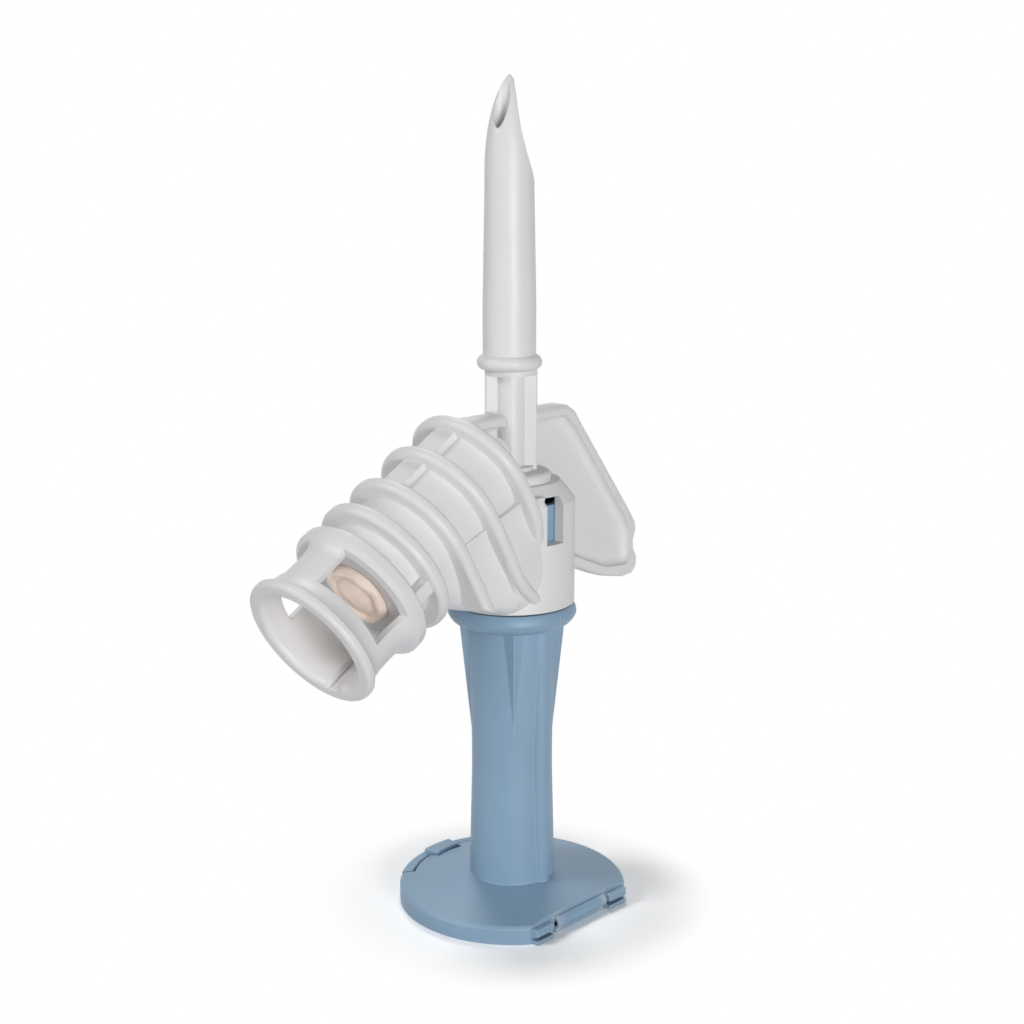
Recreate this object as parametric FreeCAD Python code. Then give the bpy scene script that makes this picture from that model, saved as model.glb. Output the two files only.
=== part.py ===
"""Infusion adapter standing on its protective cap.

Millimetres, +Z up. The origin is the centre of the cap's base on its underside,
and Z is the cap's axis. The side arm points along -X and down, the finger wing
along +X, and the lid's film hinge lies on -Y.
"""
import FreeCAD
import Part
import math
import os

Vector = FreeCAD.Vector
UP = Vector(0, 0, 1)

# Base of the cap
disc_radius = 13.4
disc_edge_height = 2.1
disc_foot_height = 3.4
disc_underside = 1.25
disc_rim_wall = 0.9
disc_edge_round = 0.3
chord_distance = 10.45

# Lid under the base
lid_thickness = 0.95
lid_gap = 0.2
latch_half_angle = 35.0
latch_rim_width = 1.35
latch_rim_height = 2.2
latch_rim_round = 0.3
latch_gap = 0.3
latch_lug_half_angle = 9.5
latch_lug_depth = 1.2
latch_lug_height = 2.85
film_half_length = 4.2
film_top = 2.0
film_outer_radius = 0.8
film_thickness = 0.35
film_setback = 0.1
film_bead_radius = 0.2
film_bead_gap = 0.06
film_neck = 0.2
film_tab_thickness = 0.36
lug_start = 5.0
lug_end = 7.85
lug_shift = -0.25
lug_depth = 0.9
lug_back = 0.85
lug_high = 1.8
lug_slot_low = 0.45
lug_slot_high = 0.95
lug_slot_inset = 0.2
lug_gap = 0.3

# Tube of the cap
tube_radius = 4.72
tube_foot_radius = 5.05
tube_foot_rise = 13.0
tube_bore_radius = 3.85
tube_straight_top = 20.0
tube_top_radius = 5.15
rib_radius = 1.2
rib_circle = 4.3
wedge_count = 4
wedge_low = 17.5
wedge_reach = 6.15
wedge_half_width = 2.0

# Collar and sleeve of the cap
collar_low = 34.0
collar_radius = 7.45
collar_height = 2.5
sleeve_wall = 0.75
sleeve_rise = 12.1

# Skirt of the adapter body
skirt_radius = 7.2
skirt_bore_radius = 5.85
skirt_gap = 0.2
skirt_shoulder = 12.1
skirt_chamfer_in = 1.7
skirt_chamfer_up = 2.1
skirt_roof = 1.3
sleeve_gap = 0.1
window_left = -1.75
window_right = 0.75
window_height = 5.3

# Outlet port inside the cap
port_radius = 3.55
port_bore_radius = 2.8
port_drop = 20.5
port_bore_depth = 29.8
port_lead_in = 0.4
channel_radius = 0.9

# Spike
spike_offset = -0.42
spike_turn = -45.0
boss_radius = 4.75
boss_height = 1.1
boss_round = 0.55
plug_radius = 2.6
plug_length = 4.6
plug_gap = 0.02
core_radius = 1.65
rib_thickness = 1.3
shaft_radius = 2.95
shaft_shift = 0.25
shaft_round = 0.3
shaft_length = 12.3
band_low = 1.4
band_high = 0.6
bead_ring_radius = 2.82
bead_round = 0.85
land_radius = 3.0
land_length = 5.6
tip_radius = 0.1
taper_radius = 2.75
taper_length = 13.0
tip_length = 11.8
lumen_offset = 1.45
lumen_radius = 0.9
lumen_low = land_length / 2
shaft_lumen_offset = 0.75
shaft_lumen_radius = 0.5
lumen_angle = 190.0

# Side arm
arm_tilt = 30.0
arm_height = 55.8
neck_radius = 6.4
neck_start = 7.5
neck_end = 26.2
fin_radius = 8.2
fin_thickness = 1.5
fin_round = 0.62
fin_first = 7.5
fin_pitch = 5.55
flange_radius = 8.35
flange_front = 23.9
flange_thickness = 1.6
flange_round = 0.6
ridge_path = ((-8.8, 7.4, 44.95), (-7.4, 7.35, 42.5), (-5.7, 7.0, 40.5), (-3.9, 6.4, 39.1), (-2.3, 5.8, 38.0))
shroud_half_width = 6.9
shroud_top = 50.0
shroud_square_end = 6.0
shroud_boxiness = 6
shroud_steps = 12
shroud_end_radius = neck_radius - 0.15
shroud_slope = 0.4
strut_half_width = 1.5
strut_height = 7.1
duct_radius = 2.0
chamber_radius = 2.6
chamber_depth = 12.0
spigot_radius = 5.6
spigot_length = 1.1

# Connector housing on the arm's end
housing_length = 9.4
housing_ring_radius = 8.35
housing_ring_length = 1.9
housing_waist_radius = 7.15
housing_lip_radius = 8.1
housing_lip_length = 1.3
housing_bore_radius = 6.2
housing_relief = 0.4
housing_window_start = 1.9
housing_window_end = 6.4
housing_window_low = 20.0
housing_window_high = 97.0
spigot_gap = 0.03
keyway_width = 2.2
keyway_depth = 0.6
keyway_length = 7.6
key_tab_width = 1.6
key_tab_depth = 1.2
key_tab_angle = 92.0

# Membrane behind the bore
membrane_radius = 5.2
membrane_thickness = 0.8
membrane_dome = 1.7
membrane_rim = 0.45
membrane_stem_length = 1.3
membrane_stem_gap = 0.03

# Finger wing: corner points of its outline, as x and z
wing_outline = (
    (-8.6, 58.6), (8.0, 58.6), (9.3, 57.8), (10.4, 56.3), (19.6, 44.4), (20.7, 42.8), (20.9, 41.8),
    (20.4, 40.4), (20.5, 39.4), (21.1, 38.3), (21.0, 37.0), (20.2, 36.2), (18.4, 36.1), (14.6, 36.9),
    (10.2, 38.7), (4.0, 40.8), (4.0, 48.0), (-8.6, 50.0),
)
wing_pocket_outline = (
    (-7.6, 57.5), (7.4, 57.5), (9.4, 55.6), (18.6, 43.6), (19.6, 41.6), (19.8, 37.6),
    (15.0, 38.0), (10.6, 39.8), (5.2, 42.2), (5.2, 48.0), (-7.6, 52.0),
)
wing_pocket_corner = 1.3
wing_half_thickness = 1.7
wing_web_half_thickness = 0.65
wing_scoop_round = 0.9
wing_round = 0.6

# Heights that follow from the sizes above
collar_top = collar_low + collar_height
skirt_bottom = collar_top + skirt_gap
shoulder_height = skirt_bottom + skirt_shoulder
dome_top = shoulder_height + skirt_chamfer_up
roof_underside = dome_top - skirt_roof
boss_top = dome_top + boss_height
shaft_top = boss_top + shaft_length
land_bottom = shaft_top + bead_round
land_top = land_bottom + land_length
taper_top = land_top + taper_length
spike_tip = taper_top + tip_length
sleeve_radius = skirt_bore_radius - sleeve_gap
sleeve_bore_radius = sleeve_radius - sleeve_wall
port_bottom = skirt_bottom - port_drop
port_bore_top = port_bottom + port_bore_depth
housing_start = neck_end + 0.05
film_axis_y = -chord_distance - film_setback
film_axis_z = film_bead_radius


def box_between(low, high):
    """Box from its lowest corner to its highest one."""
    size = Vector(*high) - Vector(*low)
    return Part.makeBox(size.x, size.y, size.z, Vector(*low))


def revolve(outline):
    """Solid turned about Z from a closed outline of (radius, height) edges or points."""
    points = [Vector(radius, 0, height) for radius, height in outline]
    face = Part.Face(Part.makePolygon(points + points[:1]))
    return face.revolve(Vector(0, 0, 0), UP, 360)


def revolve_edges(edges):
    """Solid turned about Z from the edges of a closed outline in the XZ plane."""
    face = Part.Face(Part.Wire(Part.__sortEdges__(edges)))
    return face.revolve(Vector(0, 0, 0), UP, 360)


def line(start, end):
    """Straight edge in the XZ plane."""
    return Part.LineSegment(Vector(start[0], 0, start[1]), Vector(end[0], 0, end[1])).toShape()


def arc(start, middle, end):
    """Circular arc in the XZ plane through three points."""
    points = [Vector(x, 0, z) for x, z in (start, middle, end)]
    return Part.Arc(*points).toShape()


def curve(points):
    """Smooth curve in the XZ plane through its points."""
    spline = Part.BSplineCurve()
    spline.interpolate([Vector(x, 0, z) for x, z in points])
    return spline.toShape()


def cylinder(radius, low, high, x=0.0, y=0.0):
    """Upright cylinder between two heights."""
    return Part.makeCylinder(radius, high - low, Vector(x, y, low))


def ring(outer, inner, low, high):
    """Upright tube between two heights."""
    return cylinder(outer, low, high).cut(cylinder(inner, low - 1, high + 1))


def sector(inner, outer, low, high, middle, half_angle):
    """Part of a ring about Z, around the direction given in degrees."""
    body = Part.makeCylinder(outer, high - low, Vector(0, 0, low), UP, 2 * half_angle)
    body.rotate(Vector(0, 0, 0), UP, middle - half_angle)
    return body.cut(cylinder(inner, low - 1, high + 1))


def prism_along_y(points, half_width):
    """Prism through the XZ outline, symmetric about the XZ plane."""
    corners = [Vector(x, -half_width, z) for x, z in points]
    face = Part.Face(Part.makePolygon(corners + corners[:1]))
    return face.extrude(Vector(0, 2 * half_width, 0))


def on_arm(shape):
    """Carry a shape from the arm's own frame to the part's frame.

    There Z runs out along the arm from the cap's axis, X is the arm's top side and Y stays.
    """
    tilt = math.radians(arm_tilt)
    sine, cosine = math.sin(tilt), math.cos(tilt)
    matrix = FreeCAD.Matrix(
        -sine, 0, -cosine, 0,
        0, 1, 0, 0,
        cosine, 0, -sine, arm_height,
        0, 0, 0, 1)
    placed = shape.copy()
    placed.Placement = FreeCAD.Placement(matrix).multiply(shape.Placement)
    return placed


def round_edges(shape, radius, chosen):
    """Fillet the edges that the test picks."""
    edges = [edge for edge in shape.Edges if chosen(edge)]
    return shape.makeFillet(radius, edges)


def make_disc():
    """Base disc with its conical top and downward rim, open over the latch."""
    inner = disc_radius - disc_rim_wall
    disc = revolve((
        (tube_bore_radius, disc_underside),
        (inner, disc_underside),
        (inner, 0),
        (disc_radius, 0),
        (disc_radius, disc_edge_height - disc_edge_round),
        (disc_radius - disc_edge_round, disc_edge_height),
        (tube_foot_radius, disc_foot_height),
        (tube_bore_radius, disc_foot_height)))
    outside = 2 * disc_radius
    disc = disc.cut(box_between((-outside, -outside, -1), (outside, -chord_distance, outside)))
    slot_inner = disc_radius - latch_rim_width - latch_gap
    disc = disc.cut(sector(slot_inner, outside, -1, 5, 90, latch_half_angle + 1.5))
    notch_inner = slot_inner - latch_lug_depth
    return disc.cut(sector(notch_inner, outside, -1, 5, 90, latch_lug_half_angle + 1.5))


def make_disc_lugs():
    """Two slotted lugs on the chord, one beyond each end of the film hinge."""
    lugs = []
    for side in (-1, 1):
        near, far = sorted((side * lug_start + lug_shift, side * lug_end + lug_shift))
        lug = box_between(
            (near, -chord_distance - lug_depth, 0.05), (far, -chord_distance + lug_back, lug_high))
        slot = box_between(
            (near - 1, -chord_distance - lug_depth - 1, lug_slot_low),
            (far + 1, -chord_distance + lug_slot_inset, lug_slot_high))
        lugs.append(lug.cut(slot))
    return lugs


def make_film():
    """Film hinge: a bowed strip from the chord's top edge down to a small bead on the hinge axis."""
    along = Vector(1, 0, 0)
    length = 2 * film_half_length
    middle = film_top - film_outer_radius
    start = Vector(-film_half_length, -chord_distance, middle)
    strip = Part.makeCylinder(film_outer_radius, length, start, along)
    strip = strip.cut(Part.makeCylinder(film_outer_radius - film_thickness, length + 2, start - along, along))
    outside = 2 * disc_radius
    strip = strip.cut(box_between((-outside, -chord_distance + 0.15, -1), (outside, outside, outside)))
    lower = middle - film_outer_radius
    neck = box_between(
        (-film_half_length, film_axis_y - film_neck / 2, film_axis_z),
        (film_half_length, film_axis_y + film_neck / 2, lower + film_thickness / 2))
    bead = Part.makeCylinder(
        film_bead_radius, length, Vector(-film_half_length, film_axis_y, film_axis_z), along)
    return [strip, neck, bead]


def make_tube_wall():
    """Outer form of the tube, with its foot and its slight growth to the collar."""
    foot_top = disc_foot_height + tube_foot_rise
    edges = [
        line((0, disc_underside), (tube_foot_radius, disc_underside)),
        line((tube_foot_radius, disc_underside), (tube_foot_radius, disc_foot_height)),
        line((tube_foot_radius, disc_foot_height), (tube_radius, foot_top)),
        line((tube_radius, foot_top), (tube_radius, tube_straight_top)),
        line((tube_radius, tube_straight_top), (tube_top_radius, collar_low + 0.5)),
        line((tube_top_radius, collar_low + 0.5), (0, collar_low + 0.5)),
        line((0, collar_low + 0.5), (0, disc_underside))]
    return revolve_edges(edges)


def make_wedge(angle):
    """Tapered wedge that rises out of the tube towards the collar."""
    root = tube_bore_radius + 0.5
    top = collar_low + 0.5
    left = Vector(root, -wedge_half_width, top)
    right = Vector(root, wedge_half_width, top)
    crest = Vector(wedge_reach, 0, top)
    foot = Vector(root, 0, wedge_low)
    faces = [Part.Face(Part.makePolygon([a, b, c, a])) for a, b, c in (
        (left, right, crest), (left, crest, foot), (crest, right, foot), (right, left, foot))]
    wedge = Part.Solid(Part.Shell(faces))
    wedge.rotate(Vector(0, 0, 0), UP, angle)
    return wedge


def make_collar():
    """Rounded lip that the adapter's skirt stands over."""
    lip_middle = collar_low + 0.55 * collar_height
    edges = [
        line((0, collar_low), (tube_top_radius, collar_low)),
        arc((tube_top_radius, collar_low), (collar_radius - 0.55, collar_low + 0.5), (collar_radius, lip_middle)),
        arc((collar_radius, lip_middle), (collar_radius - 0.1, collar_top - 0.5), (collar_radius - 0.4, collar_top)),
        line((collar_radius - 0.4, collar_top), (0, collar_top)),
        line((0, collar_top), (0, collar_low))]
    return revolve_edges(edges)


def make_cap_tube():
    """Cap: base disc, tube, ribs, collar and sleeve as one moulding."""
    sleeve_top = collar_top + sleeve_rise
    shape = make_tube_wall()
    pieces = [make_disc(), make_collar(), cylinder(sleeve_radius, collar_top, sleeve_top)]
    pieces += make_disc_lugs() + make_film()
    for side in (-90, 90):
        at = math.radians(side)
        pieces.append(cylinder(rib_radius, disc_underside + 0.5, collar_low + 0.5,
                               rib_circle * math.cos(at), rib_circle * math.sin(at)))
    for index in range(wedge_count):
        pieces.append(make_wedge(45 + index * 360 / wedge_count))
    shape = shape.multiFuse(pieces)
    bore = revolve((
        (0, -1), (tube_bore_radius, -1), (tube_bore_radius, collar_low - 2.0),
        (sleeve_bore_radius, collar_low), (sleeve_bore_radius, sleeve_top + 1), (0, sleeve_top + 1)))
    shape = shape.cut(bore)
    return shape.cut(bore).removeSplitter()


def make_base_lid():
    """Lid folded under the base: plate, latch rim and lug, and the tab at its film hinge."""
    radius = disc_radius - disc_rim_wall - lid_gap
    outside = 2 * disc_radius
    plate = cylinder(radius, 0, lid_thickness)
    hinge_edge = film_axis_y + film_bead_radius + lug_gap
    plate = plate.cut(box_between((-outside, -outside, -1), (outside, hinge_edge, outside)))
    lug_edge = -chord_distance + lug_back + lug_gap
    for side in (-1, 1):
        near, far = sorted((side * (lug_start - lug_gap) + lug_shift, side * outside))
        plate = plate.cut(box_between((near, -outside, -1), (far, lug_edge, outside)))
    rim = sector(disc_radius - latch_rim_width, disc_radius, 0, latch_rim_height, 90, latch_half_angle)
    rim = round_edges(rim, latch_rim_round, lambda edge: edge.BoundBox.ZMin > latch_rim_height - 0.01)
    bridge = sector(radius - 0.5, disc_radius - 0.1, 0, lid_thickness, 90, latch_half_angle)
    lug_inner = disc_radius - latch_rim_width - latch_lug_depth
    lug = sector(lug_inner, disc_radius - 0.5, 0.1, latch_lug_height, 90, latch_lug_half_angle)
    lug = round_edges(lug, 0.25, lambda edge: edge.BoundBox.ZMin > latch_lug_height - 0.01)
    tab = box_between(
        (-film_half_length, film_axis_y, 0.02),
        (film_half_length, hinge_edge + 0.5, 0.02 + film_tab_thickness))
    around_bead = Part.makeCylinder(
        film_bead_radius + film_bead_gap, 2 * outside,
        Vector(-outside, film_axis_y, film_axis_z), Vector(1, 0, 0))
    return plate.multiFuse([rim, bridge, lug, tab.cut(around_bead)]).removeSplitter()


def make_skirt():
    """Skirt over the cap's sleeve, with its chamfered top and the spike's boss."""
    skirt = revolve((
        (0, skirt_bottom), (skirt_radius, skirt_bottom), (skirt_radius, shoulder_height),
        (skirt_radius - skirt_chamfer_in, dome_top), (0, dome_top)))
    boss = cylinder(boss_radius, dome_top - 1.0, boss_top, spike_offset)
    boss = round_edges(boss, boss_round, lambda edge: edge.BoundBox.ZMin > boss_top - 0.01)
    return skirt, boss


def u_section(half_width, depth, boxiness):
    """Points of a U shape, as half widths and drops below its top, from square to round."""
    points = []
    for step in range(shroud_steps + 1):
        turn = math.pi * step / shroud_steps
        across = math.copysign(abs(math.cos(turn)) ** (2 / boxiness), math.cos(turn))
        points.append((half_width * across, depth * math.sin(turn) ** (2 / boxiness)))
    return points


def u_wire(points):
    """Closed wire from a smooth curve through the points and a straight top."""
    spline = Part.BSplineCurve()
    spline.interpolate(points)
    closing = Part.LineSegment(points[-1], points[0]).toShape()
    return Part.Wire([spline.toShape(), closing])


def make_underbody():
    """Shroud that carries the arm's round underside down to the skirt's bottom."""
    tilt = math.radians(arm_tilt)
    wires = []
    for x in (-2.0, -shroud_square_end):
        section = u_section(shroud_half_width, shroud_top - skirt_bottom, shroud_boxiness)
        wires.append(u_wire([Vector(x, across, shroud_top - drop) for across, drop in section]))
    along = flange_front - flange_thickness
    round_end = [
        Vector(-along * math.cos(tilt) + drop * math.sin(tilt), across,
               arm_height - along * math.sin(tilt) - drop * math.cos(tilt))
        for across, drop in u_section(shroud_end_radius, shroud_end_radius, 2)]
    wires.append(u_wire(round_end))
    return Part.makeLoft(wires, True, True)


def make_ridge(side):
    """Lower end of the middle fin: a round ridge that bends and sinks into the skirt."""
    radius = fin_thickness / 2
    spline = Part.BSplineCurve()
    spline.interpolate([Vector(x, side * y, z) for x, y, z in ridge_path])
    path = Part.Wire(spline.toShape())
    start = path.Edges[0].valueAt(path.Edges[0].FirstParameter)
    heading = path.Edges[0].tangentAt(path.Edges[0].FirstParameter)
    profile = Part.Wire(Part.makeCircle(radius, start, heading))
    return path.makePipeShell([profile], True, False)


def make_fin(index, straight, length, end_half_width):
    """One finger fin: a round-topped plate whose sides sweep in towards the skirt."""
    half = fin_radius
    middle_x = -(straight + length) / 2
    middle_y = (half + end_half_width) / 2
    top = [Vector(0, -half, 0), Vector(half, 0, 0), Vector(0, half, 0)]
    edges = [Part.Arc(*top).toShape()]
    for side in (-1, 1):
        ends = [Vector(0, side * half, 0), Vector(-straight, side * half, 0)]
        edges.append(Part.LineSegment(*ends).toShape())
        sweep = Part.BezierCurve()
        sweep.setPoles([
            Vector(-straight, side * half, 0), Vector(middle_x, side * half, 0),
            Vector(middle_x, side * middle_y, 0), Vector(-length, side * end_half_width, 0)])
        edges.append(sweep.toShape())
    edges.append(Part.LineSegment(
        Vector(-length, -end_half_width, 0), Vector(-length, end_half_width, 0)).toShape())
    face = Part.Face(Part.Wire(Part.__sortEdges__(edges)))
    fin = face.extrude(Vector(0, 0, fin_thickness))
    fin = round_edges(fin, fin_round, lambda edge: is_fin_edge(edge, length)).Solids[0]
    fin.translate(Vector(0, 0, fin_first + index * fin_pitch - fin_thickness / 2))
    return on_arm(fin)


def is_fin_edge(edge, length):
    """True for the flat edges of a fin's outline, apart from the one inside the body."""
    return edge.BoundBox.ZLength < 0.01 and edge.BoundBox.XMax > 0.1 - length


def make_strut(index):
    """Rectangular strut on the neck between two fins."""
    low = fin_first + index * fin_pitch
    strut = box_between((0, -strut_half_width, low), (strut_height, strut_half_width, low + fin_pitch))
    return on_arm(strut)


def make_flange():
    """Round flange at the arm's end, in front of the housing's gap."""
    flange = cylinder(flange_radius, flange_front - flange_thickness, flange_front)
    return on_arm(round_edges(flange, flange_round, lambda edge: edge.BoundBox.ZLength < 0.01))


def make_wing():
    """Flat finger wing with a raised rim and a scooped face on each side."""
    wing = prism_along_y(wing_outline, wing_half_thickness)
    wing = round_edges(wing, wing_round, lambda edge: edge.BoundBox.YLength < 0.01)
    for side in (-1, 1):
        wing = wing.cut(make_wing_pocket(side))
    return wing


def make_wing_pocket(side):
    """Scoop in one face of the wing, with round corners and a floor that curves up."""
    pocket = prism_along_y(wing_pocket_outline, wing_half_thickness)
    pocket = round_edges(pocket, wing_pocket_corner, lambda edge: edge.BoundBox.YLength > 0.1)
    middle = wing_web_half_thickness + wing_half_thickness
    pocket.translate(Vector(0, side * middle, 0))
    floor = side * wing_web_half_thickness
    return round_edges(
        pocket, wing_scoop_round,
        lambda edge: edge.BoundBox.YLength < 0.01 and abs(edge.BoundBox.YMax - floor) < 0.01)


def make_adapter_body():
    """Adapter body: skirt, port, arm with fins and flange, and wing as one moulding."""
    body, boss = make_skirt()
    neck = on_arm(cylinder(neck_radius, neck_start, neck_end))
    spigot = on_arm(cylinder(spigot_radius, neck_end - 1, neck_end + spigot_length))
    duct = on_arm(cylinder(duct_radius, 0, neck_start + 1))
    fins = [
        make_fin(0, 2.5, 9.5, 6.4),
        make_fin(1, 5.0, 12.0, 6.4),
        make_fin(2, 5.0, 12.5, 7.3)]
    ridges = [make_ridge(side) for side in (-1, 1)]
    struts = [make_strut(index) for index in range(2)]
    far = 60
    keep = prism_along_y((
        (far, skirt_bottom), (-shroud_square_end, skirt_bottom),
        (-far, skirt_bottom + shroud_slope * (far - shroud_square_end)), (-far, 2 * far), (far, 2 * far)), far)
    fins = [fin.common(keep) for fin in fins]
    for piece in [boss, neck, spigot, duct, make_underbody(), make_flange(), make_wing()] + fins + struts + ridges:
        body = body.fuse(piece)
    body = body.cut(cylinder(skirt_bore_radius, skirt_bottom - 1, roof_underside))
    body = body.fuse(make_port())
    return cut_body_openings(body).removeSplitter()


def make_port():
    """Outlet port that hangs in the cap's tube and takes the infusion set's spike."""
    port = cylinder(port_radius, port_bottom, roof_underside + 0.5)
    return round_edges(port, port_lead_in, lambda edge: edge.BoundBox.ZMax < port_bottom + 0.01)


def cut_body_openings(body):
    """Bores, channels and the two skirt windows."""
    body = body.cut(cylinder(port_bore_radius, port_bottom - 1, port_bore_top))
    body = body.cut(cylinder(shaft_lumen_radius, port_bore_top - 1, boss_top, lumen_x()))
    socket = cylinder(plug_radius + plug_gap, boss_top - plug_length, boss_top + 20, spike_offset + shaft_shift)
    body = body.cut(socket)
    shaft_room = cylinder(shaft_radius + plug_gap, boss_top, boss_top + 20, spike_offset + shaft_shift)
    body = body.cut(shaft_room)
    body = body.cut(on_arm(cylinder(channel_radius, 0, neck_end)))
    chamber_start = neck_end + spigot_length - chamber_depth
    body = body.cut(on_arm(cylinder(chamber_radius, chamber_start, neck_end + 5)))
    window_top = shoulder_height + 0.9
    window = box_between(
        (window_left, -2 * skirt_radius, window_top - window_height),
        (window_right, 2 * skirt_radius, window_top))
    core = cylinder(skirt_bore_radius - 0.5, 0, 2 * window_top)
    return body.cut(window.cut(core))


def lumen_x():
    """Where the spike's fluid channel meets the port, along X."""
    return spike_offset + shaft_shift + shaft_lumen_offset * math.cos(math.radians(lumen_angle))


def make_shaft():
    """Plug and ribbed shaft below the bead."""
    plug_low = boss_top - plug_length + plug_gap
    shaft_low = boss_top + plug_gap
    plug = cylinder(plug_radius, plug_low, shaft_low + 0.5)
    rib = box_between(
        (-shaft_radius, -rib_thickness / 2, shaft_low), (shaft_radius, rib_thickness / 2, shaft_top))
    rib = round_edges(rib, shaft_round, lambda edge: edge.BoundBox.ZLength > 1)
    core = cylinder(core_radius, shaft_low, shaft_top)
    band = cylinder(shaft_radius, shaft_top - band_low, shaft_top - band_high)
    shaft = plug.multiFuse([rib, core, band])
    shaft.translate(Vector(shaft_shift, 0, 0))
    return shaft


def make_spike():
    """Spike: plug, ribbed shaft, bead and pointed tube with two channels."""
    point = make_spike_point()
    point.rotate(Vector(0, 0, 0), UP, spike_turn)
    bead = Part.makeTorus(bead_ring_radius, bead_round, Vector(0, 0, shaft_top))
    spike = point.fuse(bead)
    for angle in (lumen_angle, lumen_angle + 180):
        at = math.radians(angle)
        spike = spike.cut(cylinder(
            lumen_radius, land_bottom + lumen_low, spike_tip + 1,
            lumen_offset * math.cos(at), lumen_offset * math.sin(at)))
    shaft = make_shaft()
    shaft.rotate(Vector(shaft_shift, 0, 0), UP, spike_turn)
    spike = spike.fuse(shaft)
    for angle in (lumen_angle, lumen_angle + 180):
        at = math.radians(angle)
        spike = spike.cut(cylinder(
            shaft_lumen_radius, boss_top - plug_length - 1, land_bottom + lumen_low + 0.5,
            shaft_shift + shaft_lumen_offset * math.cos(at), shaft_lumen_offset * math.sin(at)))
    spike.translate(Vector(spike_offset, 0, 0))
    return spike.removeSplitter()


def make_spike_point():
    """Round spike above the bead: straight land, taper, pointed end and scalloped side."""
    shoulder = taper_top - 0.6
    edges = [
        line((0, shaft_top), (land_radius, shaft_top)),
        line((land_radius, shaft_top), (land_radius, land_top)),
        line((land_radius, land_top), (taper_radius, taper_top)),
        curve(((taper_radius, taper_top), (2.66, taper_top + 3.6), (2.35, taper_top + 6.2),
               (1.75, taper_top + 8.6), (0.9, taper_top + 10.6), (tip_radius, spike_tip))),
        line((tip_radius, spike_tip), (0, spike_tip)),
        line((0, spike_tip), (0, shaft_top))]
    point = revolve_edges(edges)
    side = (
        (taper_radius + 0.12, shoulder), (2.68, shoulder + 1.2), (2.4, shoulder + 2.3), (2.03, shoulder + 3.5),
        (1.565, shoulder + 5.1), (1.125, shoulder + 7.0), (0.8, shoulder + 9.2), (0.6, shoulder + 10.9),
        (0.32, spike_tip + 0.1))
    scallop = [
        curve(side),
        line((0.32, spike_tip + 0.1), (taper_radius + 3, spike_tip + 0.1)),
        line((taper_radius + 3, spike_tip + 0.1), (taper_radius + 3, shoulder)),
        line((taper_radius + 3, shoulder), (taper_radius + 0.12, shoulder))]
    face = Part.Face(Part.Wire(Part.__sortEdges__(scallop)))
    face.translate(Vector(0, -4, 0))
    return point.cut(face.extrude(Vector(0, 8, 0)))


def make_connector_housing():
    """Bayonet housing: rear ring, waist with two windows, and flared front lip."""
    rear = housing_start
    front = rear + housing_length
    ring_front = rear + housing_ring_length
    lip_rear = front - housing_lip_length
    round_lip = 0.5
    spigot_end = neck_end + spigot_length + 0.05
    land_rear = rear + housing_window_end
    edges = [
        line((spigot_radius + spigot_gap, rear), (housing_ring_radius - round_lip, rear)),
        arc((housing_ring_radius - round_lip, rear), (housing_ring_radius - 0.15, rear + 0.15),
            (housing_ring_radius, rear + round_lip)),
        line((housing_ring_radius, rear + round_lip), (housing_ring_radius, ring_front - round_lip)),
        curve(((housing_ring_radius, ring_front - round_lip), (housing_waist_radius + 0.25, ring_front + 0.6),
               (housing_waist_radius, (ring_front + lip_rear) / 2), (housing_waist_radius + 0.2, lip_rear - 0.9),
               (housing_lip_radius, lip_rear + 0.4))),
        line((housing_lip_radius, lip_rear + 0.4), (housing_lip_radius, front - round_lip)),
        arc((housing_lip_radius, front - round_lip), (housing_lip_radius - 0.15, front - 0.15),
            (housing_lip_radius - round_lip, front)),
        line((housing_lip_radius - round_lip, front), (housing_bore_radius + 0.7, front)),
        arc((housing_bore_radius + 0.7, front), (housing_bore_radius + 0.2, front - 0.2),
            (housing_bore_radius, front - 0.7)),
        line((housing_bore_radius, front - 0.7), (housing_bore_radius, land_rear)),
        line((housing_bore_radius, land_rear), (housing_bore_radius + housing_relief, spigot_end)),
        line((housing_bore_radius + housing_relief, spigot_end), (spigot_radius + spigot_gap, spigot_end)),
        line((spigot_radius + spigot_gap, spigot_end), (spigot_radius + spigot_gap, rear))]
    housing = revolve_edges(edges)
    window_half = (housing_window_high - housing_window_low) / 2
    window_middle = (housing_window_high + housing_window_low) / 2
    for side in (-1, 1):
        housing = housing.cut(sector(
            3, 12, rear + housing_window_start, rear + housing_window_end, side * window_middle, window_half))
    housing = housing.cut(box_between(
        (-housing_bore_radius - keyway_depth, -keyway_width / 2, front - keyway_length),
        (0, keyway_width / 2, front + 1)))
    tabs = []
    for side in (-1, 1):
        tab = box_between(
            (neck_radius + 0.05, -key_tab_width / 2, flange_front),
            (neck_radius + key_tab_depth, key_tab_width / 2, rear + 0.5))
        tab.rotate(Vector(0, 0, 0), UP, side * key_tab_angle)
        tabs.append(tab)
    return on_arm(housing.multiFuse(tabs).removeSplitter())


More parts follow.
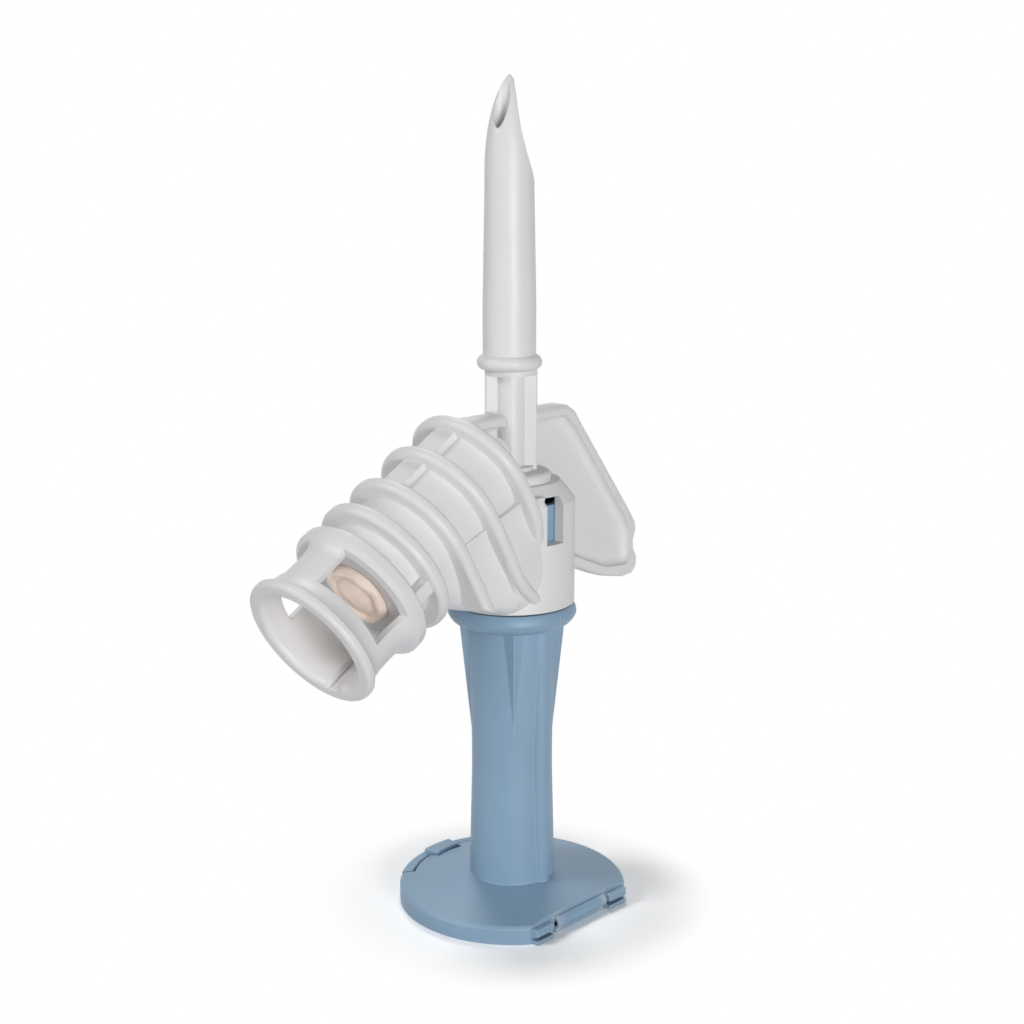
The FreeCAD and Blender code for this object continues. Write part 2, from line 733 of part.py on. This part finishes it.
def make_membrane():
    """Soft membrane: domed disc with a raised rim, and a stem in the arm's chamber."""
    seat = neck_end + spigot_length
    face_height = seat + membrane_thickness
    rim_inner = membrane_radius - 2 * membrane_rim
    dome_sphere = (rim_inner ** 2 + membrane_dome ** 2) / (2 * membrane_dome)
    dome_middle = membrane_dome - dome_sphere + math.sqrt(dome_sphere ** 2 - (rim_inner / 2) ** 2)
    edges = [
        line((0, seat - membrane_stem_length), (chamber_radius - membrane_stem_gap, seat - membrane_stem_length)),
        line((chamber_radius - membrane_stem_gap, seat - membrane_stem_length),
             (chamber_radius - membrane_stem_gap, seat)),
        line((chamber_radius - membrane_stem_gap, seat), (membrane_radius, seat)),
        line((membrane_radius, seat), (membrane_radius, face_height)),
        arc((membrane_radius, face_height), (membrane_radius - membrane_rim, face_height + membrane_rim),
            (rim_inner, face_height)),
        arc((rim_inner, face_height), (rim_inner / 2, face_height + dome_middle),
            (0, face_height + membrane_dome)),
        line((0, face_height + membrane_dome), (0, seat - membrane_stem_length))]
    return on_arm(revolve_edges(edges))


def main():
    """Build every piece and write one STEP file for each."""
    os.makedirs("parts", exist_ok=True)
    pieces = {
        "cap_tube": make_cap_tube,
        "base_lid": make_base_lid,
        "adapter_body": make_adapter_body,
        "spike": make_spike,
        "connector_housing": make_connector_housing,
        "membrane": make_membrane,
    }
    for name, make in pieces.items():
        shape = make()
        shape.exportStep("parts/" + name + ".step")
        box = shape.BoundBox
        print(name, "solids", len(shape.Solids), "valid", shape.isValid(), "volume %.1f" % shape.Volume,
              "x %.2f..%.2f y %.2f..%.2f z %.2f..%.2f" % (
                  box.XMin, box.XMax, box.YMin, box.YMax, box.ZMin, box.ZMax))


main()
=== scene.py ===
"""Looks of an infusion adapter that stands in its protective cap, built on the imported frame."""

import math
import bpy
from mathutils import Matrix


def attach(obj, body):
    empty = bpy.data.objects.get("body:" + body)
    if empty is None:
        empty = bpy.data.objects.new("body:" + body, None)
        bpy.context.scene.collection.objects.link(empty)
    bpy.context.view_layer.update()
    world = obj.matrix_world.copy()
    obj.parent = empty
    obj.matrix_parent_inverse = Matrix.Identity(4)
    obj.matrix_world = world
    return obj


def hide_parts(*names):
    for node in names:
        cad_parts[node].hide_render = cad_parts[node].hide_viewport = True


bl_info = {
    "name": "Infusion Adapter Looks",
    "version": (1, 0, 0),
    "blender": (4, 5, 0),
    "location": "View3D > Sidebar > Infusion Adapter",
    "description": "Membrane, mould lines, moulded plastic finishes and studio stage for the infusion adapter",
    "category": "Object",
}

import bpy
from mathutils import Matrix, Vector

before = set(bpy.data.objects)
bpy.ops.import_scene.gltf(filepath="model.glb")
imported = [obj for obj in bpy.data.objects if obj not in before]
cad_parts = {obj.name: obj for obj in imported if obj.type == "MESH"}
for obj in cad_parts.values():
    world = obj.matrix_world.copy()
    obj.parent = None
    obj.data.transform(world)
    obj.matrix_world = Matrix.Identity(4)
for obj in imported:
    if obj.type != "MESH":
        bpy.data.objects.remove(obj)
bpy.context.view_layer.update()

MM = 0.001

# Where the photograph was taken from, in millimetres, and the lens on a 36 mm sensor
CAMERA_PLACE = (-141.27, -130.42, 89.0)
CAMERA_AIM = (0.0, 0.0, 46.98)
CAMERA_LENS = 60.5
SENSOR_WIDTH = 36.0

# Each soft box: its place in millimetres, its side in metres and its power in watts
SOFT_BOXES = {
    "key_box": ((-400, 210, 360), 0.18, 1.1),
    "front_box": ((-250, -500, 60), 0.20, 2.4),
    "back_box": ((210, 240, 470), 0.18, 0.8),
}
BOX_AIM = (0, 0, 50)
ROOM_LIGHT = 0.14

# The floor shows the shadow inside the first radius and is plain white past the second
SHADOW_FROM, SHADOW_TO = 16 * MM, 25 * MM
FLOOR_SIZE = 6.0
FLOOR_DROP = 0.02 * MM
PAPER = "#C6C6C8"
PAPER_LIFT = (0.86, 0.86, 0.84, 1.0)

# The arm leaves the cap's axis at this height and leans down by this angle
ARM_HEIGHT = 55.8 * MM
ARM_TILT = math.radians(30)

# The membrane along the arm, in millimetres: its seat, its stem behind the seat and its rim
MEMBRANE_SEAT = 27.3
STEM_RADIUS, STEM_HEIGHT = 2.5, 1.1
RIM_ROUND = 0.15
RIM_WALL = 0.55
FOLDED_ABOVE = 1.3
# Insets from the rim inwards, each with its step along the arm: crown, groove and dome
MEMBRANE_PROFILE = (
    (0.12, 0.22), (0.3, 0.14), (0.32, -0.02), (0.28, -0.2), (0.2, -0.24),
    (0.3, 0.06), (0.8, 0.42), (0.9, 0.28), (0.9, 0.12))
# Uneven folds as size, turns round the rim and phase: in and out, then up and down in millimetres
RIM_WAVES = ((0.05, 3, 0.7), (0.035, 5, 2.1), (0.025, 8, 0.0))
CROWN_WAVES = ((0.16, 2, 1.0), (0.1, 7, 0.4))

# Mould lines over the cap's surface, in millimetres
MOULD_LINES = {
    "collar_mould_line": (
        (0, -5.6, 33.99), (0, -6.9, 34.45), (0, -7.35, 35.0), (0, -7.46, 35.4),
        (0, -7.42, 36.0), (0, -7.2, 36.4), (0, -7.05, 36.51)),
    "disc_mould_line": (
        (-0.65, -6.8, 3.07), (-0.68, -8.4, 2.82), (-0.7, -10.0, 2.58), (-0.7, -10.4, 2.52)),
}

# The film strip's whitened ends: across its bend, and between two distances from its middle
BEND_FROM, BEND_TO = -10.3 * MM, -10.6 * MM
END_FADES = ((2.6 * MM, 4.4 * MM), (5.2 * MM, 4.5 * MM))

PLASTIC_IOR = 1.49
# Moulded edges catch the light as if rounded by this much. Along them the blue is painted paler: a painted
# highlight, partly also stress whitening of the thin rims
EDGE_ROUND = 0.15 * MM
PALE_EDGE_WIDTH = 0.3 * MM


def linear(hex_colour):
    """Linear RGBA from an sRGB hex colour."""
    values = [int(hex_colour[i:i + 2], 16) / 255 for i in (1, 3, 5)]
    return [v / 12.92 if v <= 0.04045 else ((v + 0.055) / 1.055) ** 2.4 for v in values] + [1.0]


def tinted(colour, share, added=0.0):
    """A share of a colour's light, with some white added."""
    return [channel * share + added for channel in colour[:3]] + [1.0]


# ---------------------------------------------------------------- materials

def node(tree, kind, inputs=None, **settings):
    """Adds one node with its settings, values and links. Sockets go by name or number."""
    added = tree.nodes.new(kind)
    for name, value in settings.items():
        setattr(added, name, value)
    for name, value in (inputs or {}).items():
        if isinstance(value, bpy.types.NodeSocket):
            tree.links.new(value, added.inputs[name])
        else:
            added.inputs[name].default_value = value
    return added


class MouldedPlastic:
    """A material for one moulding, with the piece's own coordinates and a clouded colour."""

    def __init__(self, name, colour, share, cloud_mm):
        """The colour drifts down to a share of its light, as pigment does where the melt flowed."""
        self.material = bpy.data.materials.new(name)
        self.material.use_nodes = True
        self.tree = self.material.node_tree
        self.tree.nodes.clear()
        self.place = node(self.tree, "ShaderNodeTexCoord").outputs["Object"]
        cloud = node(self.tree, "ShaderNodeTexNoise", {
            "Vector": self.place, "Scale": 1 / (cloud_mm * MM), "Detail": 3.0})
        drift = node(self.tree, "ShaderNodeMapRange", {
            "Value": cloud.outputs["Fac"], "From Min": 0.3, "From Max": 0.7})
        self.colour = tinted(colour, share)
        self.cover(drift.outputs["Result"], list(colour))

    def cover(self, mask, colour):
        """Lays a colour over the present one where the mask is one."""
        layer = node(self.tree, "ShaderNodeMix", {0: mask, 6: self.colour, 7: colour}, data_type="RGBA")
        self.colour = layer.outputs[2]

    def skin(self, roughness, bump, depth_mm=0.02, grain_mm=0.3, glow=0.1, glow_mm=0.7):
        """Spark-eroded satin skin, drawn coarser than its 0.1 mm to show, over a body that glows a little."""
        grain = node(self.tree, "ShaderNodeTexNoise", {
            "Vector": self.place, "Scale": 1 / (grain_mm * MM), "Detail": 2.0})
        satin = node(self.tree, "ShaderNodeMapRange", {
            "Value": grain.outputs["Fac"], "From Min": 0.3, "From Max": 0.7,
            "To Min": roughness - 0.05, "To Max": roughness + 0.06})
        soft_edge = node(self.tree, "ShaderNodeBevel", {"Radius": EDGE_ROUND}, samples=4)
        relief = node(self.tree, "ShaderNodeBump", {
            "Height": grain.outputs["Fac"], "Strength": bump, "Distance": depth_mm * MM,
            "Normal": soft_edge.outputs["Normal"]})
        shader = node(self.tree, "ShaderNodeBsdfPrincipled", {
            "Base Color": self.colour,
            "Roughness": satin.outputs["Result"],
            "Normal": relief.outputs["Normal"],
            "IOR": PLASTIC_IOR,
            "Subsurface Weight": glow,
            "Subsurface Radius": (1.0, 0.95, 0.9),
            "Subsurface Scale": glow_mm * MM})
        node(self.tree, "ShaderNodeOutputMaterial", {"Surface": shader.outputs["BSDF"]})
        return self.material


def white_polypropylene(looks):
    """White polypropylene, spark-eroded mould: soft satin, light goes in a little at the fins' edges."""
    return MouldedPlastic("white_moulded_polypropylene", looks.white, 0.975, 9).skin(0.42, 0.16)


def white_abs(looks):
    """White ABS from a finer mould: the same satin with less grain, so the spike's sides stay smooth."""
    return MouldedPlastic("white_moulded_abs_spike", looks.white, 0.97, 12).skin(0.42, 0.1)


def blue_polyethylene(looks):
    """Blue-grey polyethylene: satin and cloudy, pale where the lid's strip bends, and painted paler along edges
    as a painted highlight partly mixed with stress whitening.
    """
    plastic = MouldedPlastic("blue_moulded_polyethylene", looks.blue, 0.93, 7)
    pale = tinted(looks.blue, 0.5, 0.36)
    plastic.cover(strip_whitening(plastic), pale)
    # Painted highlight along the edges, partly stress whitening of the thin rims
    plastic.cover(highlit_and_whitened_edges(plastic), pale)
    return plastic.skin(0.44, 0.16, glow=0.12, glow_mm=0.5)


def strip_whitening(plastic):
    """Mask of the blotches where bending has whitened the film strip's two ends."""
    tree = plastic.tree
    axes = node(tree, "ShaderNodeSeparateXYZ", {"Vector": plastic.place})
    across = node(tree, "ShaderNodeMath", {0: axes.outputs["X"]}, operation="ABSOLUTE").outputs["Value"]
    blotch = node(tree, "ShaderNodeTexNoise", {"Vector": plastic.place, "Scale": 1 / (1.6 * MM), "Detail": 4.0})
    mask = 1.0
    for value, low, high in (
            (axes.outputs["Y"], BEND_FROM, BEND_TO), (across, *END_FADES[0]), (across, *END_FADES[1]),
            (blotch.outputs["Fac"], 0.2, 0.7)):
        fade = node(tree, "ShaderNodeMapRange", {
            "Value": value, "From Min": low, "From Max": high}, interpolation_type="SMOOTHSTEP")
        both = node(tree, "ShaderNodeMath", {0: mask, 1: fade.outputs["Result"]}, operation="MULTIPLY")
        mask = both.outputs["Value"]
    return mask


def highlit_and_whitened_edges(plastic):
    """Mask of a painted highlight along edges, partly also stress whitening of thin rims, found where the
    rounded and the true surface direction part.
    """
    tree = plastic.tree
    rounded = node(tree, "ShaderNodeBevel", {"Radius": PALE_EDGE_WIDTH}, samples=6)
    true = node(tree, "ShaderNodeNewGeometry")
    agree = node(tree, "ShaderNodeVectorMath", {
        0: rounded.outputs["Normal"], 1: true.outputs["Normal"]}, operation="DOT_PRODUCT")
    return node(tree, "ShaderNodeMapRange", {
        "Value": agree.outputs["Value"], "From Min": 0.995, "From Max": 0.88,
        "To Min": 0.0, "To Max": 0.55}).outputs["Result"]


def whitened_flash(looks):
    """Polyethylene flash where the mould halves met: so thin that it looks almost white."""
    plastic = MouldedPlastic("whitened_polyethylene_flash", tinted(looks.blue, 0.6, 0.25), 0.85, 1.5)
    return plastic.skin(0.5, 0.1, grain_mm=0.2, glow_mm=0.4)


def silicone(looks):
    """Peach silicone rubber: cloudy and soft, light goes in a millimetre and it has a dull wet sheen."""
    plastic = MouldedPlastic("peach_silicone_rubber", looks.membrane, 0.85, 1.8)
    return plastic.skin(0.46, 0.2, depth_mm=0.03, grain_mm=0.4, glow=0.5, glow_mm=1.0)


# ---------------------------------------------------------------- modelling helpers

def deselect():
    """Leaves edit mode and selects nothing."""
    if bpy.context.object and bpy.context.object.mode != "OBJECT":
        bpy.ops.object.mode_set(mode="OBJECT")
    bpy.ops.object.select_all(action="DESELECT")


def arm_matrix():
    """From the arm's own frame, where Z runs out along it, to the part's frame."""
    sine, cosine = math.sin(ARM_TILT), math.cos(ARM_TILT)
    return Matrix((
        (-sine, 0, -cosine, 0),
        (0, 1, 0, 0),
        (cosine, 0, -sine, ARM_HEIGHT),
        (0, 0, 0, 1)))


def ripple(waves, angle):
    """Sum of the waves at an angle round the rim."""
    return sum(size * math.sin(turns * angle + phase) for size, turns, phase in waves)


def flash_line(name, points, width):
    """Thin raised mould line through points in millimetres, made a mesh."""
    deselect()
    bpy.ops.curve.primitive_nurbs_path_add(location=(0, 0, 0))
    piece = bpy.context.object
    piece.name = name
    curve = piece.data
    curve.splines.clear()
    spline = curve.splines.new("NURBS")
    spline.points.add(len(points) - 1)
    for control, point in zip(spline.points, points):
        control.co = (*(Vector(point) * MM), 1)
    spline.order_u = 3
    spline.use_endpoint_u = True
    curve.dimensions = "3D"
    curve.bevel_depth = width / 2
    curve.bevel_resolution = 2
    curve.use_fill_caps = True
    bpy.ops.object.convert(target="MESH")
    piece = bpy.context.object
    piece.data.name = name
    return piece


def aim(thing, place, target):
    """Puts a lamp or camera at a place, in millimetres, pointing at a target."""
    thing.location = Vector(place) * MM
    heading = Vector(target) * MM - thing.location
    thing.rotation_euler = heading.to_track_quat("-Z", "Y").to_euler()


# ---------------------------------------------------------------- add-on

class InfusionAdapterLooks(bpy.types.PropertyGroup):
    """Sizes and colours of the adapter's looks."""
    white: bpy.props.FloatVectorProperty(
        name="White plastic", description="Colour of the white mouldings", subtype="COLOR", size=4,
        min=0, max=1, default=linear("#E5E4E4"))
    blue: bpy.props.FloatVectorProperty(
        name="Blue plastic", description="Colour of the cap and its lid", subtype="COLOR", size=4,
        min=0, max=1, default=linear("#8AA9C2"))
    membrane: bpy.props.FloatVectorProperty(
        name="Membrane", description="Colour of the soft membrane", subtype="COLOR", size=4,
        min=0, max=1, default=linear("#FFEADB"))
    membrane_radius: bpy.props.FloatProperty(
        name="Membrane radius", description="Outer radius of the membrane's rim", unit="LENGTH",
        min=0.001, max=0.006, default=3.9 * MM)
    line_width: bpy.props.FloatProperty(
        name="Mould line width", description="Width of the raised mould lines on the cap", unit="LENGTH",
        min=0.00005, max=0.001, default=0.14 * MM)
    light_level: bpy.props.FloatProperty(
        name="Light level", description="Strength of the soft boxes", default=1.0, min=0.1, max=3.0)


class ADAPTER_OT_membrane(bpy.types.Operator):
    """Model the soft membrane with its folded rim inside the connector"""
    bl_idname = "adapter.membrane"
    bl_label = "Membrane"

    def execute(self, context):
        looks = context.scene.adapter_looks
        radius = looks.membrane_radius
        inner = radius - RIM_ROUND * MM
        deselect()
        bpy.ops.mesh.primitive_circle_add(
            vertices=72, radius=STEM_RADIUS * MM, fill_type="NGON", location=(0, 0, 0))
        piece = context.object
        piece.name = "membrane_face"
        bpy.ops.object.mode_set(mode="EDIT")
        bpy.ops.mesh.select_mode(type="FACE")
        bpy.ops.mesh.select_all(action="SELECT")
        self.rise(STEM_HEIGHT * MM)
        self.rise(0)
        self.widen(inner / (STEM_RADIUS * MM))
        self.rise(RIM_ROUND * MM)
        self.widen(radius / inner)
        self.rise(RIM_WALL * MM)
        for thickness, depth in MEMBRANE_PROFILE:
            bpy.ops.mesh.inset(thickness=thickness * MM, depth=depth * MM)
        bpy.ops.mesh.poke()
        bpy.ops.object.mode_set(mode="OBJECT")
        self.fold(piece, radius)
        self.soften(piece)
        piece.matrix_world = arm_matrix() @ Matrix.Translation((0, 0, (MEMBRANE_SEAT - STEM_HEIGHT) * MM))
        bpy.ops.object.transform_apply(location=True, rotation=True, scale=True)
        bpy.ops.object.shade_smooth()
        piece.data.materials.append(silicone(looks))
        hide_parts("membrane")
        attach(piece, "adapter")
        return {"FINISHED"}

    def rise(self, height):
        """Extrudes the selected face along the arm."""
        bpy.ops.mesh.extrude_region_move(TRANSFORM_OT_translate={"value": (0, 0, height)})

    def widen(self, share):
        """Scales the selected face about the arm's axis."""
        bpy.ops.transform.resize(value=(share, share, 1), center_override=(0, 0, 0))

    def fold(self, piece, radius):
        """Pulls the rim in and out unevenly, as the thin rubber sits in its seat."""
        for vertex in piece.data.vertices:
            if vertex.co.z < FOLDED_ABOVE * MM:
                continue
            angle = math.atan2(vertex.co.y, vertex.co.x)
            reach = vertex.co.xy.length / radius
            pull = 1 + ripple(RIM_WAVES, angle) * max(0.0, reach - 0.35) - 0.04 * reach
            vertex.co.x *= pull
            vertex.co.y *= pull
            crown = math.exp(-((reach - 0.9) / 0.12) ** 2)
            vertex.co.z += crown * MM * ripple(CROWN_WAVES, angle)

    def soften(self, piece):
        """Rounds the membrane's rings off."""
        smooth = piece.modifiers.new("smooth", "SUBSURF")
        smooth.levels = 2
        smooth.render_levels = 2
        bpy.ops.object.modifier_apply(modifier=smooth.name)


class ADAPTER_OT_mould_lines(bpy.types.Operator):
    """Lay the thin mould lines over the cap's collar and disc"""
    bl_idname = "adapter.mould_lines"
    bl_label = "Mould lines"

    def execute(self, context):
        looks = context.scene.adapter_looks
        finish = whitened_flash(looks)
        for name, points in MOULD_LINES.items():
            piece = flash_line(name, points, looks.line_width)
            bpy.ops.object.shade_smooth()
            piece.data.materials.append(finish)
            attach(piece, "cap")
        return {"FINISHED"}


class ADAPTER_OT_finishes(bpy.types.Operator):
    """Give each moulding its plastic finish"""
    bl_idname = "adapter.finishes"
    bl_label = "Finishes"

    def execute(self, context):
        looks = context.scene.adapter_looks
        white = white_polypropylene(looks)
        blue = blue_polyethylene(looks)
        finishes = {
            "adapter_body": white, "connector_housing": white, "spike": white_abs(looks),
            "cap_tube": blue, "base_lid": blue}
        for name, finish in finishes.items():
            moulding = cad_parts[name].data
            moulding.materials.clear()
            moulding.materials.append(finish)
        return {"FINISHED"}


class ADAPTER_OT_stage(bpy.types.Operator):
    """Set the white floor, the soft boxes and the camera"""
    bl_idname = "adapter.stage"
    bl_label = "Studio stage"

    def execute(self, context):
        looks = context.scene.adapter_looks
        deselect()
        bpy.ops.mesh.primitive_plane_add(size=FLOOR_SIZE, location=(0, 0, -FLOOR_DROP))
        floor = context.object
        floor.name = "studio_floor"
        floor.data.materials.append(self.paper())
        bpy.ops.object.transform_apply(location=True, rotation=True, scale=True)
        for name, (place, size, power) in SOFT_BOXES.items():
            light = bpy.data.lights.new(name, "AREA")
            light.shape = "SQUARE"
            light.size = size
            light.energy = power * looks.light_level
            lamp = bpy.data.objects.new(name, light)
            context.collection.objects.link(lamp)
            aim(lamp, place, BOX_AIM)
        self.room(context)
        lens = bpy.data.cameras.new("photo_camera")
        camera = bpy.data.objects.new("photo_camera", lens)
        context.collection.objects.link(camera)
        lens.sensor_width = SENSOR_WIDTH
        lens.lens = CAMERA_LENS
        lens.clip_start = 10 * MM
        aim(camera, CAMERA_PLACE, CAMERA_AIM)
        context.scene.camera = camera
        context.scene.view_settings.view_transform = "Standard"
        return {"FINISHED"}

    def seen(self, tree):
        """One where the eye sees the stage, straight or through gloss and clear plastic."""
        path = node(tree, "ShaderNodeLightPath")
        mask = path.outputs["Is Camera Ray"]
        for ray in ("Is Glossy Ray", "Is Transmission Ray"):
            either = node(tree, "ShaderNodeMath", {0: mask, 1: path.outputs[ray]}, operation="MAXIMUM")
            mask = either.outputs["Value"]
        return mask

    def paper(self):
        """White studio paper: matte, keeps the shadow near the object and is plain white further out."""
        material = bpy.data.materials.new("white_studio_floor")
        material.use_nodes = True
        tree = material.node_tree
        tree.nodes.clear()
        place = node(tree, "ShaderNodeTexCoord").outputs["Object"]
        reach = node(tree, "ShaderNodeVectorMath", {0: place}, operation="LENGTH").outputs["Value"]
        far = node(tree, "ShaderNodeMapRange", {
            "Value": reach, "From Min": SHADOW_FROM, "From Max": SHADOW_TO}, interpolation_type="SMOOTHSTEP")
        matte = node(tree, "ShaderNodeBsdfDiffuse", {"Color": linear(PAPER)}).outputs["BSDF"]
        lift = node(tree, "ShaderNodeBsdfDiffuse", {"Color": PAPER_LIFT}).outputs["BSDF"]
        near = node(tree, "ShaderNodeAddShader", {0: matte, 1: lift}).outputs["Shader"]
        plain = node(tree, "ShaderNodeEmission", {"Color": linear("#FFFFFF"), "Strength": 1.0})
        shown = node(tree, "ShaderNodeMixShader", {
            0: far.outputs["Result"], 1: near, 2: plain.outputs["Emission"]})
        whole = node(tree, "ShaderNodeMixShader", {0: self.seen(tree), 1: matte, 2: shown.outputs["Shader"]})
        node(tree, "ShaderNodeOutputMaterial", {"Surface": whole.outputs["Shader"]})
        return material

    def room(self, context):
        """Dim even light from all round, seen as plain white."""
        world = bpy.data.worlds.new("studio_white")
        context.scene.world = world
        world.use_nodes = True
        tree = world.node_tree
        tree.nodes.clear()
        soft = node(tree, "ShaderNodeBackground", {"Color": linear("#FBFBFC"), "Strength": ROOM_LIGHT})
        white = node(tree, "ShaderNodeBackground", {"Color": linear("#FFFFFF"), "Strength": 1.0})
        whole = node(tree, "ShaderNodeMixShader", {
            0: self.seen(tree), 1: soft.outputs["Background"], 2: white.outputs["Background"]})
        node(tree, "ShaderNodeOutputWorld", {"Surface": whole.outputs["Shader"]})


class ADAPTER_PT_panel(bpy.types.Panel):
    """Lists the steps that dress the adapter"""
    bl_label = "Infusion Adapter"
    bl_idname = "ADAPTER_PT_panel"
    bl_space_type = "VIEW_3D"
    bl_region_type = "UI"
    bl_category = "Infusion Adapter"

    def draw(self, context):
        looks = context.scene.adapter_looks
        for name in looks.bl_rna.properties.keys():
            if name not in ("rna_type", "name"):
                self.layout.prop(looks, name)
        for operator in STEPS:
            self.layout.operator(operator.bl_idname)


STEPS = (ADAPTER_OT_stage, ADAPTER_OT_membrane, ADAPTER_OT_mould_lines, ADAPTER_OT_finishes)
CLASSES = (InfusionAdapterLooks,) + STEPS + (ADAPTER_PT_panel,)


def register():
    for item in CLASSES:
        bpy.utils.register_class(item)
    bpy.types.Scene.adapter_looks = bpy.props.PointerProperty(type=InfusionAdapterLooks)


def unregister():
    del bpy.types.Scene.adapter_looks
    for item in reversed(CLASSES):
        bpy.utils.unregister_class(item)


def main():
    register()
    bpy.ops.adapter.stage()
    bpy.ops.adapter.membrane()
    bpy.ops.adapter.mould_lines()
    bpy.ops.adapter.finishes()


if __name__ == "__main__":
    main()
